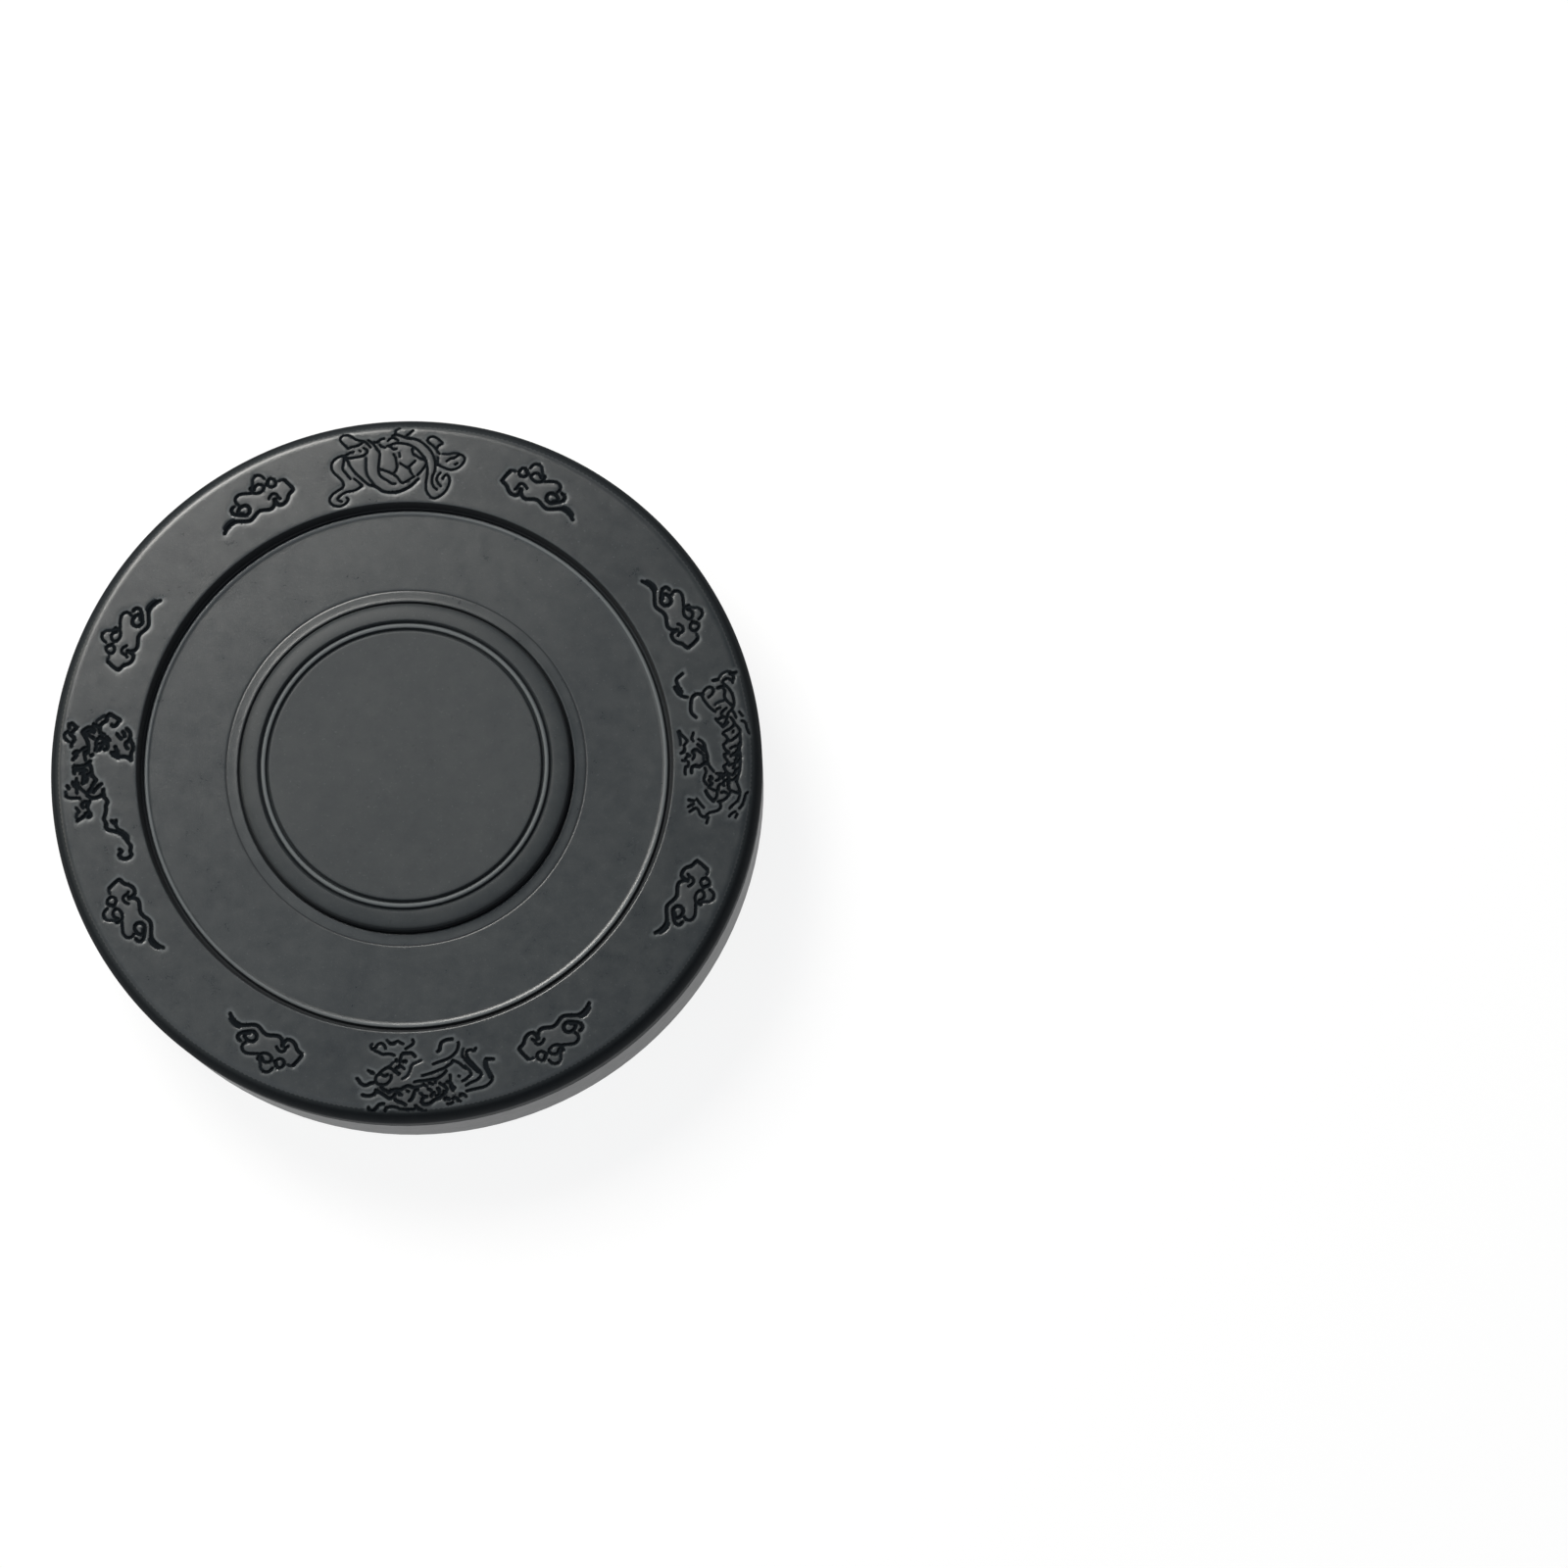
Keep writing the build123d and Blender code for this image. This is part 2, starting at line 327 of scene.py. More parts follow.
dragon_plain = [
    [(-10.3, 4.6), (-9.7, 4.6), (-9.3, 4.3), (-8.9, 4.2)],
    [(-9.3, 4.1), (-9.7, 3.7), (-9.85, 3.2), (-9.5, 2.45), (-8.8, 2.8), (-8, 3.3), (-7, 3.65),
     (-6, 3.7), (-5.3, 3.6), (-4.7, 3.3), (-4.3, 3)],
    [(-8.6, 2.2), (-7.8, 2.45), (-7.1, 2.2), (-6.4, 2.25), (-5.7, 2.7), (-5, 3.2)],
    [(-7.35, -0.7), (-7.7, -0.1), (-8.1, 0.35), (-8.7, 0.45), (-9.15, 0.05), (-9.05, -0.7),
     (-8.6, -1.35), (-8, -1.6)],
    [(-8.3, -1.85), (-7.4, -1.75), (-6.5, -1.4), (-5.7, -1), (-5, -0.5), (-4.5, 0)],
    [(-5.05, 1), (-4.95, 0.4)],
    [(-3.8, 4.3), (-3, 4.8)],
    [(-2.2, 4.5), (-2.05, 4.95), (-1.5, 5.2), (-0.7, 5.3), (0, 5.6)],
    [(-4.3, 3), (-3.6, 3.4), (-2.9, 3.55)],
    [(-4.8, 2.1), (-4.4, 1.4), (-3.9, 1), (-3.3, 1.3)],
    [(-4.3, 3), (-4, 2.4), (-3.4, 2.1), (-2.4, 1.6), (-1.9, 1.2), (-1.6, 0.9)],
    [(-3, 2.6), (-2.4, 3), (-1.8, 3.2), (-1.2, 3.7), (-0.6, 4), (0, 3.8), (0.4, 3.2), (0.8, 2.6),
     (1.05, 2.1), (0.7, 1.6), (0.2, 1.4), (-0.2, 0.9)],
    [(-1.7, 3), (-1.2, 2.4), (-0.9, 1.8), (-0.7, 1.2), (-0.35, 0.8)],
    [(-3.2, -0.15), (-2.7, 0.1), (-2.1, 0.6), (-1.7, 0.9)],
    [(-3.3, 1.5), (-3.2, 0.8), (-3, 0.2)],
    [(-0.6, 2.75), (-0.4, 2.65)],
    [(2, 3.3), (2.1, 2.6), (2.4, 2)],
    [(3.8, 3.1), (3.4, 2.5), (3.8, 2)],
    [(4.3, 3), (4.6, 2.8)],
    [(5.1, 2.4), (5.4, 1.7)],
    [(5.4, 2.7), (5.9, 2.5)],
    [(6.4, 2.8), (7.1, 2.4), (6.8, 1.6)],
    [(7.8, 2.8), (8, 2), (7.7, 1.6)],
    [(1.6, 0.8), (2.3, 0.9), (2.8, 1.3)],
    [(3.4, 0.8), (4, 1), (4.5, 1.3)],
    [(5.6, 0.7), (6.2, 1), (6.7, 1.4)],
    [(8.2, 3.1), (9, 3.5), (9.9, 3.9)],
    [(10.25, 3.9), (10.1, 3.1), (9.9, 2.4)],
    [(9.9, 2.3), (10.6, 1.95), (11.3, 1.5), (11.8, 0.8), (12.05, 0.1)],
    [(10.4, 1.7), (10.2, 1.1), (10.35, 0.5)],
    [(10, -0.3), (10.7, -0.2), (11.4, -0.3), (11.8, -0.6)],
    [(6.9, 0.4), (6.9, -0.6)],
    [(5.9, -2.7), (6.7, -2.45), (7.5, -2.7), (8.4, -2.75), (9.1, -2.2)],
    [(8.8, -1.2), (9.5, -1.8), (9.9, -1.2), (10.1, -0.5)],
    [(5.1, -2.1), (5.8, -1.7), (6.5, -1.1)],
    [(12.2, 0.5), (12.9, 0.75), (13.5, 0.45), (13.9, -0.2), (14.2, -0.9), (14.6, -1.45), (15.2, -1.7),
     (15.2, -2.3), (14.8, -2.8), (14.1, -3.2), (13.8, -3.7), (14.2, -4.2), (14.7, -4.7)],
    [(13.1, -4.2), (13.4, -4.7), (13.8, -5.1)],
    [(12, -3.8), (12.6, -3.3), (13.1, -2.8), (13.5, -2.3)],
    [(15.2, -1.2), (16.3, -1.3)],
    [(9.9, 5.3), (10.2, 5)],
    [(10.6, 4.9), (11.5, 4.75), (12.3, 4.5), (12.8, 4.1)],
    [(10.6, 3.9), (11.4, 3.7), (12, 3.2), (12.5, 2.7), (13, 2.4)],
    [(13.4, 3.5), (13.8, 2.9), (14.4, 2.5)],
    [(13.8, 3.9), (14.4, 3.7)],
    [(0.3, -3.7), (0.8, -3.05), (1.6, -2.65), (2.5, -2.5), (3.4, -2.25), (4.4, -2.2), (5.1, -2.1)],
    [(2.7, -3.7), (3.1, -3.3)],
    [(5.7, -6.2), (6.6, -6.3), (7.3, -6.2)],
    [(4.6, -5.8), (5.2, -5.6), (5.7, -5.9)],
    [(3.1, -5.9), (3.5, -5.4)],
    [(3.4, -5.6), (3.9, -6.1), (4.5, -6.4), (4.4, -6.8)],
    [(-1.1, -4.5), (-0.5, -4.7), (0, -4.9), (0.6, -4.65)],
    [(-1.8, -7), (-1, -6.7), (-0.3, -6.2), (0.4, -5.75), (0.9, -6.05), (1.4, -6.4)],
    [(-2.2, 2), (-1.85, 1.45), (-1.55, 1)],
    [(0.9, 1.65), (1.3, 1.25), (1.65, 0.85)],
    [(1.5, 3.75), (2.1, 3.45), (2.7, 3.65), (3.1, 3.25)],
    [(2.6, 3.3), (3.05, 3), (3.35, 2.6)],
    [(3.95, 3.75), (3.65, 3.2)],
    [(2.8, 1.3), (3.1, 1.75), (3.3, 1.2), (3.5, 0.85)],
    [(4.5, 1.3), (4.9, 1.6), (5.2, 1.3), (5.4, 0.9)],
    [(4.4, 3.6), (4.8, 3.2), (5.1, 2.6)],
    [(5.9, 3.5), (6.2, 3), (6.7, 2.7)],
    [(7.2, 3.2), (7.6, 2.9)],
    [(7.1, 1.3), (7.5, 1.7), (7.8, 1.6)],
    [(6.7, 1.1), (7.05, 0.7), (7.1, 0.2), (6.9, -0.3)],
    [(7, 1.2), (7.35, 0.75), (7.8, 0.6)],
    [(8, 1.5), (8.2, 1), (8.7, 0.7), (9.1, 0.9)],
    [(7.4, 0.1), (8, -0.05), (8.25, -0.6)],
    [(8.8, 0.25), (9.3, -0.1), (9.9, 0)],
    [(8.2, -1.9), (8.7, -1.5)],
    [(1.3, -2.8), (2, -2.75), (2.7, -2.65)],
    [(3.1, -4.7), (3.6, -4.6), (4.2, -4.9)],
    [(5, -2.9), (5.5, -3.6), (5.7, -4.2)],
]
dragon_faint = [
    [(-10.6, 4.6), (-11, 4), (-11, 3.3), (-10.8, 2.6), (-10.4, 2.1)],
    [(-6.2, 1.8), (-6.1, 0.8), (-5.7, 0.1)],
    [(0, 3.9), (1.7, 3.9), (2.6, 3.6), (3.6, 3.75), (5.5, 3.7), (6.5, 3.6), (7.5, 3.3), (8.2, 3.1)],
    [(-1.7, -7.3), (0, -7), (1.2, -7)],
    [(3.4, -2.9), (4.6, -2.9)],
]

phoenix_place = (176.98, 1, 0.29)
phoenix_deep = [
    [(-12.2, -1.4), (-12.9, -1.2), (-13.5, -1)],
    [(-3.5, -4.5), (-4, -4.8), (-4.1, -5.4), (-4.5, -6), (-5.2, -6.3), (-6.1, -6.35), (-6.7, -6.3)],
    [(-7, 3.9), (-6.6, 3.75), (-6.4, 4)],
    [(-5.7, 4.3), (-5.4, 4.1), (-5.2, 4.3)],
    [(-4.5, 4.3), (-4.1, 4), (-3.8, 4.2)],
    [(-3.8, 3.2), (-3.4, 3.5), (-3, 3.8), (-2.4, 4), (-1.9, 4.2), (-1.4, 4.6), (-0.6, 4.8), (0, 4.5),
     (0, 3.9), (-0.5, 3.4), (-0.8, 3.4)],
    [(-2.1, 2.8), (-1.8, 2.9), (-1.6, 3.4)],
    [(-1.6, 2.3), (-1.2, 2.1)],
    [(0.2, 5.7), (0.7, 5.4), (1.1, 4.9)],
    [(2.8, 4.7), (3.4, 4.3), (4, 4.1), (4.5, 3.8)],
    [(6.4, 4.6), (7, 4.7), (7.4, 5.1), (7.7, 5.6), (8.2, 6), (8.7, 5.8), (8.85, 5.4)],
    [(4.6, 2.9), (5, 3.4), (5.5, 3.6), (6, 3.3), (6.6, 2.9), (7.2, 2.6), (7.6, 2.3), (7.9, 2.2)],
    [(5.2, 2.2), (5.6, 2.5), (6, 2.2), (6.6, 2), (7, 1.6)],
    [(7.8, 2.3), (8, 2.8), (8.5, 3.2), (9.2, 3.4), (10.1, 3.3)],
    [(8.4, 0.9), (9, 1.1), (9.6, 1.5), (10.1, 1.5), (10.7, 1.2), (11.1, 0.7), (11.4, 0.5)],
    [(8.6, -0.8), (9, -0.9)],
    [(3.9, -0.9), (4, -0.85)],
    [(2.8, -3.15), (2.9, -3.1)],
    [(4.5, -3.4), (4.5, -3.2)],
    [(3.2, -4.6), (2.6, -4.6), (2, -4.6), (1.4, -4.5), (0.9, -3.95)],
    [(1.5, 1.6), (2.2, 1.3), (2.9, 1.5), (3.6, 1.9), (4.6, 1.9), (5.3, 2.2)],
    [(1.3, 2.6), (1.5, 3.2), (1.8, 3.8), (2.1, 4)],
    [(4.9, -6.5), (5.2, -6.3), (5.8, -6.3)],
    [(-5.7, 2.4), (-5.3, 2.5), (-5.1, 2)],
    [(2.65, -3.1), (3.1, -3.1)],
]
phoenix_plain = [
    [(-7.6, 3.4), (-8.5, 3.35), (-9.6, 3.35), (-10.6, 3.35), (-11.5, 3.1), (-12.2, 2.6), (-12.4, 2.1)],
    [(-7.7, 2.4), (-8.4, 2.1), (-9.2, 1.95), (-10, 1.7), (-10.6, 1.2), (-10.7, 0.7), (-10.3, -0.1),
     (-9.9, -0.8), (-9.5, -1.5), (-9.1, -2.2), (-8.9, -2.9), (-8.95, -3.5), (-9.4, -3.75),
     (-9.9, -3.7), (-10.4, -3.4), (-10.9, -3.8)],
    [(-10.2, 0.5), (-9.6, -0.4), (-9, -1.3), (-8.5, -2.1), (-8.1, -2.8)],
    [(-7.2, 1.5), (-7.8, 1.3), (-8.4, 1), (-8.95, 0.6)],
    [(-8.15, -0.6), (-7.6, -1.3), (-7.1, -1.9), (-6.5, -2.3), (-6.1, -2.5)],
    [(-6.85, 0.55), (-6.7, 0.45)],
    [(-6.1, -2.4), (-5.7, -2), (-5.1, -1.7), (-4.3, -1.35), (-3.4, -1.15), (-2.4, -0.85), (-1.2, -0.6),
     (-0.2, -0.4)],
    [(-4.7, -0.8), (-4.2, -0.4), (-3.6, 0), (-2.8, 0.35), (-1.8, 0.4), (-0.6, 0.5), (0.4, 0.5),
     (1.2, 0.65)],
    [(-2.4, -2.3), (-3.4, -2.55), (-4.4, -2.75), (-5.4, -3), (-6.3, -3.4), (-7, -3.9), (-7.4, -4.4),
     (-7.7, -5), (-7.8, -5.5)],
    [(-5.4, 2.9), (-5.5, 2.4), (-5.3, 1.8), (-5.1, 1.2), (-5.2, 0.6), (-5.25, 0)],
    [(-7.4, 4.4), (-7.2, 4.1)],
    [(-6.3, 5), (-6, 4.9), (-5.9, 4.5)],
    [(-5, 5), (-4.6, 5.15), (-4.1, 5.1)],
    [(-4.9, 1.4), (-4.5, 1.1)],
    [(-4.1, 2), (-4, 1.5)],
    [(-3.1, 2.8), (-3, 2.2), (-2.7, 2.1)],
    [(-2.5, 1), (-2.6, 0.6)],
    [(1.3, 5.5), (2.5, 5.55)],
    [(2.5, 5.55), (3.6, 5.45), (4.5, 5.1), (5.2, 5.05)],
    [(5.2, 5.05), (6, 5.3), (6.1, 5.9)],
    [(9, -0.9), (9.6, -1.2)],
    [(7, 1.2), (6.4, 1.1), (6, 0.9), (5.5, 0.3), (5.3, -0.2), (5.35, -0.6)],
    [(6, -0.7), (6.5, -0.4), (7, -0.6), (7.3, -0.9)],
    [(7, 1.2), (7.8, 1), (8.1, 0.4), (8, -0.3), (7.6, -0.7), (7.2, -1.2), (6.6, -1.7), (5.9, -1.9),
     (5.2, -1.7)],
    [(4, -0.9), (4.5, -1.1), (4.9, -1.4)],
    [(3, -1.8), (3.5, -2.2), (3.9, -2.4)],
    [(4.1, -2), (4.4, -2.1)],
    [(3.8, -3), (3.7, -3.8), (3.5, -4.4)],
    [(3.7, 2.7), (3.8, 2.9)],
    [(2.2, 2.3), (2.5, 2.2)],
    [(4.9, -4.2), (5.6, -4.4), (6.4, -4.4), (7.2, -4.3), (7.9, -4.6), (8.6, -4.8), (9.3, -5.1)],
    [(9.2, -5.1), (8.7, -5.4), (8.3, -6), (7.7, -6.3), (7.2, -6.1), (6.8, -5.7), (6.7, -5.4)],
    [(2.7, -5.4), (2.3, -5.6), (1.8, -5.9), (1.3, -6.2), (1.1, -6.6), (1.3, -7)],
    [(3.2, -6.3), (3.8, -6.5), (4.3, -6.8), (4.9, -6.5)],
    [(3.4, 2.9), (3.8, 2.7), (4.2, 2.4), (4.6, 2.1)],
    [(-0.5, 3.3), (-0.1, 3.15)],
    [(-3, 2.9), (-2.85, 2.2)],
    [(-3.7, 1.7), (-3.25, 1.2)],
    [(-2, 1.3), (-1.4, 1)],
    [(-0.9, 1.5), (-0.4, 1.2)],
    [(4.4, -1.3), (4.65, -1.7), (4.3, -2.05)],
    [(0.6, 2.1), (1.2, 2.2)],
    [(-4.2, 3), (-3.8, 2.7)],
    [(-4.4, 2.5), (-4.2, 2)],
    [(-2.4, 3.4), (-2.9, 3.3)],
]
phoenix_faint = [
    [(-12.45, 2.1), (-12.35, 1.3), (-12.1, 0.4), (-12.1, -0.5), (-12.15, -1.3)],
    [(-12, 2), (-11.9, 1.2), (-11.65, 0.3), (-11.65, -0.5), (-11.9, -1.2)],
    [(-8.1, -2.8), (-8.1, -3.4), (-8.5, -4.2)],
    [(-8.95, 0.6), (-8.9, 0), (-8.4, -0.7), (-8.1, -1.1)],
    [(-0.5, 5.9), (0, 5.9)],
    [(5.1, -2.9), (5.6, -2.3), (6.2, -2)],
    [(3.3, 0), (2.6, -0.4), (2.1, -1.1), (1.8, -1.9), (1.5, -2.5), (0.6, -2.9), (-0.2, -3.2)],
    [(-0.4, 1.3), (0.5, 1.5), (1.5, 1.6)],
    [(0, 2.8), (0.3, 2.7)],
    [(9.3, -5.1), (9.7, -5.6), (9.4, -6)],
    [(6.1, -6.5), (6.5, -6.9)],
]

tiger_place = (266.21, 1, -0.2)
tiger_deep = [
    [(-12.3, -3), (-12.8, -3.3), (-13.1, -2.8), (-13.4, -2.6), (-14, -2.9), (-14.4, -3.5),
     (-14.4, -4.2), (-14, -4.8), (-13.2, -4.75), (-12.4, -5.15), (-11.5, -4.85), (-10.5, -4.5),
     (-9.9, -4.3), (-9.3, -3.85), (-8.8, -3.2), (-8.4, -2.4), (-8, -1.8), (-7.4, -1.45), (-6.9, -1.7),
     (-6.4, -1.55), (-5.8, -1.4), (-5, -1.8), (-4.2, -2.05), (-3.4, -2.1), (-2.8, -2.5), (-2.3, -2.3),
     (-1.7, -1.9)],
    [(-7.1, -3.2), (-6.8, -2.9), (-6.5, -2.7)],
    [(-1.2, 1), (-1.6, 0.4), (-1.75, -0.2), (-1.6, -0.9), (-1.5, -1.4), (-1.75, -1.9)],
    [(-1.5, -1.85), (-0.9, -1.85), (-0.3, -1.9)],
    [(-5.4, 3.4), (-5.1, 2.7), (-4.8, 2.1), (-4.3, 1.6)],
    [(-5.1, 1.3), (-4.9, 0.8), (-4.4, 0.95)],
    [(-3.2, 2.05), (-2.7, 2.2), (-2.3, 1.9), (-2.2, 1.5), (-2.6, 1.2), (-3.1, 1.25)],
    [(0.4, 4.35), (0.8, 4.65)],
    [(0.7, 3.35), (1.4, 3.6)],
    [(-0.3, 0.75), (0, 0.4), (0.9, -0.1), (1.55, -0.7)],
    [(1.55, -0.7), (2.1, -0.3), (2.6, 0.05), (3.4, 0.15), (4.1, 0.3), (4.6, 0.8)],
    [(-0.6, -0.1), (0, -0.6), (0.5, -1.2), (0.8, -1.6)],
    [(1.1, 1.8), (2, 1.65), (3, 1.6), (3.9, 1.6)],
    [(2.9, 3.3), (3.6, 3.35), (4.1, 3.4)],
    [(4.15, 3.4), (4.15, 2.5), (4.3, 1.6), (4.6, 0.9), (5.1, 0.4)],
    [(6.1, 0.3), (6.3, 0.05)],
    [(5.3, 3.6), (5.6, 3.45)],
    [(5.6, 3.4), (6, 3), (6.5, 3)],
    [(6.4, 3.5), (6.8, 3.2), (6.8, 2.6)],
    [(7.2, 2), (7.5, 1.6)],
    [(6.6, 0.95), (7.5, 0.9), (8.5, 1.1), (9.3, 1.55), (9.9, 2), (10.3, 2.3), (10.9, 1.8), (11.3, 1.2),
     (11.1, 0.5), (10.7, 0.1)],
    [(9.35, 0.1), (9.5, 0.35)],
    [(7.6, 4), (8.1, 4), (8.5, 3.75), (8.9, 3.5), (9.3, 3.9), (9.7, 4.35), (10.1, 4.1), (10.5, 3.8),
     (10.9, 3.4), (11.3, 3.9), (11.6, 4.4), (11.2, 4.9), (10.8, 4.8)],
    [(11.5, -0.6), (12, -0.9), (12.5, -1.3), (12.9, -1.8), (13.6, -1.75), (14.3, -2.1), (14.1, -2.7),
     (13.8, -3.3), (13.6, -4)],
    [(13.4, -4.2), (12.8, -3.9), (12.2, -3.6), (11.95, -3.1), (12.3, -2.8)],
    [(7.3, -2.1), (7.5, -2.5)],
    [(9.6, -0.9), (9.4, -1.6), (9, -2.1), (8.5, -2.5), (7.9, -2.6)],
    [(10.3, -1.7), (10.4, -1.1), (11, -0.75), (11.4, -0.8)],
    [(6.85, -3.3), (6.5, -3.6)],
    [(6.4, -3.7), (6, -4.4), (6.05, -5.2), (6.1, -5.9), (5.85, -6.5)],
    [(5.8, -6.6), (5.4, -7.05)],
    [(5.4, -7), (6.3, -6.95), (7, -7), (7.6, -7.2), (8.4, -7.2), (9, -7), (9.5, -6.6), (9.9, -6.5),
     (10.7, -6.5), (11.4, -6.2), (11.9, -5.6)],
    [(7.8, -4), (8.05, -4)],
    [(7.8, -6.2), (8.3, -5.85), (8.9, -5.8), (9.3, -6.1), (9.6, -6.4)],
    [(10.3, -5.5), (10.8, -5.3), (11.2, -5)],
    [(9.7, -4.9), (10.1, -4.4), (10.6, -4.05)],
    [(3.6, 3.3), (3.6, 2.4), (3.7, 1.6)],
    [(11.9, 0.4), (11.55, -0.4)],
    [(-0.45, 0.6), (-0.1, 0.45)],
    [(6.9, -3.8), (6.3, -4.1), (5.9, -4.5)],
]
tiger_plain = [
    [(-9, -4.3), (-8.2, -3.5), (-7.3, -3.4), (-6.6, -3.6)],
    [(-4.4, 0.95), (-3.9, 1.1), (-3.2, 1.2), (-2.6, 0.9), (-2.2, 0.7)],
    [(-3.9, 2.8), (-3.5, 3.05), (-3.1, 3.3)],
    [(-1.6, 2.4), (-1.4, 3), (-1.35, 3.8), (-1.2, 4.6), (-0.9, 4.9)],
    [(-0.6, 2.9), (0.6, 3), (2, 2.9)],
    [(-1.3, 0.9), (-0.6, 1.4), (0, 2), (0.6, 2.5), (1.2, 2.6)],
    [(1.2, 1.8), (1.4, 1.1), (1.9, 0.9)],
    [(3.5, 2.9), (3.5, 1.6), (3.4, 1)],
    [(2.6, 0.6), (2.9, 0.3)],
    [(5.2, 1.3), (5.8, 1.4), (6.5, 1.6), (6.8, 1.2)],
    [(9.5, 0.4), (9.9, 1.2), (10.3, 1.8)],
    [(10.4, 0.2), (10.8, 1)],
    [(8.4, 4.6), (8.8, 5.2), (9.3, 5.5), (9.9, 5.3), (10.1, 4.9), (9.7, 4.4)],
    [(11.95, 0.4), (11.9, 0)],
    [(9.2, -2.9), (9.6, -2.6), (9.9, -2.2)],
    [(6.2, -4.7), (7, -4.5), (7.9, -4.1)],
    [(2.9, 2.2), (3.2, 1.6), (3.5, 1.2)],
    [(1.9, 1.6), (2.1, 1.2), (2.5, 0.9)],
    [(2.6, 1), (2.8, 0.5), (3, 0.3)],
    [(7.1, -0.3), (7.7, -0.5), (8.4, -0.4), (9.1, -0.5), (9.5, -1)],
    [(7.3, -1.2), (7.8, -1.6), (8.3, -1.4), (8.4, -1)],
    [(8.5, -2), (8.9, -1.6)],
    [(10.1, 1.7), (10.5, 1.2), (10.5, 0.5)],
]
tiger_faint = [
    [(-10.8, -5), (-10, -5), (-9, -4.3)],
    [(-4.8, 3.5), (-4.1, 3.3)],
    [(-0.9, 4.9), (-0.2, 4.95)],
    [(12.6, 0), (13.2, -0.6), (13.8, -1.2)],
    [(7, -0.7), (7.2, -1.1), (7.7, -1.3)],
]


def smooth_line(points, step):
    """Points every step mm or so along a smooth line through the given points."""
    p = [np.array(q, float) for q in points]
    p = [2 * p[0] - p[1]] + p + [2 * p[-1] - p[-2]]
    line = []
    for a, b, c, d in zip(p, p[1:], p[2:], p[3:]):
        count = max(1, round(float(np.hypot(*(c - b))) / step))
        for i in range(count):
            u = i / count
            bend = (2 * a - 5 * b + 4 * c - d) * u**2 + (3 * b - a - 3 * c + d) * u**3
            line.append(0.5 * (2 * b + (c - a) * u + bend))
    line.append(p[-2])
    return np.array(line)


def on_rim(line, centre, turn, out):
    """Puts a line drawn flat, along the rim and outward, in its place on the rim."""
    angle = math.radians(centre) + turn * line[:, 0] / carving_radius
    radius = carving_radius + line[:, 1] + out
    return np.stack([radius * np.sin(angle), radius * np.cos(angle)], -1)


# The bodies of the beasts and clouds, left a little rough from the graver: place, roughness, outline
bodies = [
    (tortoise_place, 0.22, [
        (-7.9, 1.9), (-10.4, 0.4), (-9.1, -3.0), (-9.6, -4.1), (-12.3, -5.5), (-11.5, -7), (-9, -6.5),
        (-10.6, -6), (-9.6, -5.1), (-5.5, -4.4), (-3.6, -4.5), (-0.5, -6.1), (3.5, -5.5), (5.8, -3.7),
        (7.3, -5.0), (9.2, -7.1), (11.8, -4.5), (10.6, -2.9), (8.8, -3.3), (8.8, -1), (13.8, 0.1),
        (12.8, 1.7), (9.4, 1.2), (9.5, 3.3), (7.2, 4.2), (6.6, 3.0), (3.1, 4.1), (1.5, 4.6),
        (-2.4, 3.6), (-3.9, 3.9), (-7, 5.6), (-7.9, 4.6), (-7, 3.1),
    ]),
    (dragon_place, 0.42, [
        (-10.4, 4.4), (-10.5, 0.9), (-8.7, 1.2), (-8.2, -1.8), (-4.5, -0.1), (-3.2, -0.1), (-1.6, 0.7),
        (1, 0.7), (5.5, 0.6), (6.9, -0.4), (5.8, -2.0), (0.6, -3.1), (0.3, -3.7), (2.3, -4.5),
        (5.5, -4.5), (5.3, -2.7), (7.5, -2.8), (9, -2.8), (10.2, -2.4), (12.1, -0.8), (12, 0.4),
        (11.2, 1.6), (10, 2.4), (10.2, 3.9), (8.2, 3.2), (5.5, 3.8), (0, 4.0), (-0.6, 4.1),
        (-2.9, 3.6), (-4.5, 3.2), (-6, 3.8), (-8, 3.3), (-9.4, 2.5), (-9.3, 4.2),
    ]),
    (phoenix_place, 0.5, [
        (-7.4, 4.2), (-5.9, 4.9), (-4, 5.1), (-3, 4.1), (-0.5, 5.9), (2.5, 5.6), (5.2, 5.1),
        (6.1, 5.9), (6.4, 4.6), (4.5, 3.8), (7.2, 2.6), (8.2, 1.0), (7.6, -0.7), (5.4, -2.7),
        (3.6, -4.5), (0.9, -4.0), (3.0, -3.0), (3.3, 0), (1.2, 0.7), (-4.7, -0.8), (-5.2, 0),
        (-5.4, 2.9),
    ]),
    (tiger_place, 0.62, [
        (-5.2, 3.2), (-5.2, 0.9), (-3, 0.8), (-1.8, 0.2), (-1.7, -1.8), (0.8, -1.6), (1.6, -0.7),
        (2.7, 0.1), (4.6, 0.8), (6.2, 0.1), (7.0, -0.8), (7.2, -2.5), (6.6, -3.4), (6.0, -4.4),
        (6.1, -6), (5.5, -7), (9.5, -7), (11.8, -5.8), (10.8, -4), (9.5, -2.8), (10.3, -1.7),
        (11.5, -0.8), (12.9, -1.8), (12, -3.2), (13.4, -4.1), (14.3, -2.1), (12, 0.4), (11.3, 0.6),
        (11.3, 1.3), (10.3, 2.3), (9, 3.5), (6.8, 3.4), (5.4, 3.6), (4.2, 3.4), (1.4, 3.5), (0.9, 4.7),
        (-1.2, 4.8), (-1.5, 2.5), (-3.1, 3.2),
    ]),
]
